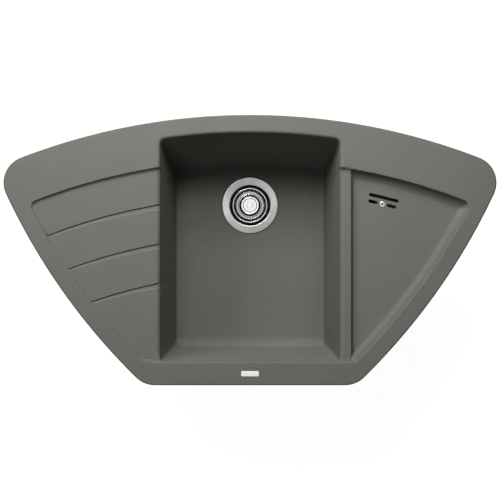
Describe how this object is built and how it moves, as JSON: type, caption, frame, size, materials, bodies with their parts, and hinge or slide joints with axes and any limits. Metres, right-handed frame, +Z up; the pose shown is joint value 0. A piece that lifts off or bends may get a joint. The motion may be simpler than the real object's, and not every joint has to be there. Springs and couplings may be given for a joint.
{
  "type": "corner kitchen sink",
  "caption": "Corner kitchen sink of matt composite with a main bowl, a grooved drainer, a shallow side basin with overflow slots, a basket strainer and fixing clamps.",
  "frame": {"origin": "on the underside of the rim's lip, 9 mm in from the middle of the straight front edge: the height of the worktop", "axes": "+X to the right seen from the front edge, +Y to the back wall, +Z up"},
  "size_m": [0.93, 0.51, 0.2799],
  "materials": {
    "composite": "fine-grained, matt",
    "sealing_strip": "closed-cell foam",
    "badge_metal": "satin anodised, plain",
    "satin_steel": "satin",
    "polished_steel": "polished",
    "black_rubber": "moulded",
    "waste_plastic": "moulded",
    "pipe_plastic": "corrugated",
    "insert_brass": "turned",
    "clamp_zinc": "zinc-plated"
  },
  "bodies": {
    "sink": {"sink_body": "composite", "rim_seal_tape": "sealing_strip", "badge_plate": "badge_metal", "strainer_flange": "satin_steel", "flange_gasket": "black_rubber", "waste_body": "waste_plastic", "waste_body_gasket": "black_rubber", "waste_centre_screw": "satin_steel", "outlet_union_nut": "waste_plastic", "outlet_washer": "black_rubber", "overflow_gasket": "black_rubber", "overflow_housing": "waste_plastic", "overflow_screw": "polished_steel", "overflow_hose": "pipe_plastic", "hose_nut_top": "waste_plastic", "hose_nut_bottom": "waste_plastic", "clamp_insert_1": "insert_brass", "clamp_insert_2": "insert_brass", "clamp_insert_3": "insert_brass", "clamp_insert_4": "insert_brass", "clamp_insert_5": "insert_brass", "clamp_insert_6": "insert_brass", "clamp_insert_7": "insert_brass", "clamp_insert_8": "insert_brass"},
    "seal_ring": {"basket_seal": "black_rubber"},
    "basket": {"strainer_basket": "polished_steel", "basket_stem": "polished_steel", "basket_knob": "polished_steel"},
    "clamp_1_screw": {"clamp_screw_1": "clamp_zinc"},
    "clamp_1_claw": {"clamp_claw_1": "clamp_zinc"},
    "clamp_2_screw": {"clamp_screw_2": "clamp_zinc"},
    "clamp_2_claw": {"clamp_claw_2": "clamp_zinc"},
    "clamp_3_screw": {"clamp_screw_3": "clamp_zinc"},
    "clamp_3_claw": {"clamp_claw_3": "clamp_zinc"},
    "clamp_4_screw": {"clamp_screw_4": "clamp_zinc"},
    "clamp_4_claw": {"clamp_claw_4": "clamp_zinc"},
    "clamp_5_screw": {"clamp_screw_5": "clamp_zinc"},
    "clamp_5_claw": {"clamp_claw_5": "clamp_zinc"},
    "clamp_6_screw": {"clamp_screw_6": "clamp_zinc"},
    "clamp_6_claw": {"clamp_claw_6": "clamp_zinc"},
    "clamp_7_screw": {"clamp_screw_7": "clamp_zinc"},
    "clamp_7_claw": {"clamp_claw_7": "clamp_zinc"},
    "clamp_8_screw": {"clamp_screw_8": "clamp_zinc"},
    "clamp_8_claw": {"clamp_claw_8": "clamp_zinc"}
  },
  "joints": [
    {"name": "basket_lift", "type": "slide", "parent": "sink", "child": "seal_ring", "axis": [0, 0, 1], "range_m": [0, 0.22]},
    {"name": "basket_turn", "type": "hinge", "parent": "seal_ring", "child": "basket", "pos_m": [0, 0.337, -0.19], "axis": [0, 0, 1], "continuous": true},
    {"name": "clamp_1_travel", "type": "slide", "parent": "sink", "child": "clamp_1_screw", "axis": [0, 0, 1], "range_m": [-0.008, 0]},
    {"name": "clamp_1_swing", "type": "hinge", "parent": "clamp_1_screw", "child": "clamp_1_claw", "pos_m": [-0.41, 0.40321, -0.045], "axis": [0, 0, 1], "range_deg": [-90, 90]},
    {"name": "clamp_2_travel", "type": "slide", "parent": "sink", "child": "clamp_2_screw", "axis": [0, 0, 1], "range_m": [-0.008, 0]},
    {"name": "clamp_2_swing", "type": "hinge", "parent": "clamp_2_screw", "child": "clamp_2_claw", "pos_m": [-0.29, 0.44068, -0.045], "axis": [0, 0, 1], "range_deg": [-90, 90]},
    {"name": "clamp_3_travel", "type": "slide", "parent": "sink", "child": "clamp_3_screw", "axis": [0, 0, 1], "range_m": [-0.008, 0]},
    {"name": "clamp_3_swing", "type": "hinge", "parent": "clamp_3_screw", "child": "clamp_3_claw", "pos_m": [0.29, 0.44068, -0.045], "axis": [0, 0, 1], "range_deg": [-90, 90]},
    {"name": "clamp_4_travel", "type": "slide", "parent": "sink", "child": "clamp_4_screw", "axis": [0, 0, 1], "range_m": [-0.008, 0]},
    {"name": "clamp_4_swing", "type": "hinge", "parent": "clamp_4_screw", "child": "clamp_4_claw", "pos_m": [0.41, 0.40321, -0.045], "axis": [0, 0, 1], "range_deg": [-90, 90]},
    {"name": "clamp_5_travel", "type": "slide", "parent": "sink", "child": "clamp_5_screw", "axis": [0, 0, 1], "range_m": [-0.008, 0]},
    {"name": "clamp_5_swing", "type": "hinge", "parent": "clamp_5_screw", "child": "clamp_5_claw", "pos_m": [0.34251, 0.1944, -0.045], "axis": [0, 0, 1], "range_deg": [-90, 90]},
    {"name": "clamp_6_travel", "type": "slide", "parent": "sink", "child": "clamp_6_screw", "axis": [0, 0, 1], "range_m": [-0.008, 0]},
    {"name": "clamp_6_swing", "type": "hinge", "parent": "clamp_6_screw", "child": "clamp_6_claw", "pos_m": [0.11, 0.015, -0.045], "axis": [0, 0, 1], "range_deg": [-90, 90]},
    {"name": "clamp_7_travel", "type": "slide", "parent": "sink", "child": "clamp_7_screw", "axis": [0, 0, 1], "range_m": [-0.008, 0]},
    {"name": "clamp_7_swing", "type": "hinge", "parent": "clamp_7_screw", "child": "clamp_7_claw", "pos_m": [-0.11, 0.015, -0.045], "axis": [0, 0, 1], "range_deg": [-90, 90]},
    {"name": "clamp_8_travel", "type": "slide", "parent": "sink", "child": "clamp_8_screw", "axis": [0, 0, 1], "range_m": [-0.008, 0]},
    {"name": "clamp_8_swing", "type": "hinge", "parent": "clamp_8_screw", "child": "clamp_8_claw", "pos_m": [-0.34251, 0.1944, -0.045], "axis": [0, 0, 1], "range_deg": [-90, 90]}
  ]
}
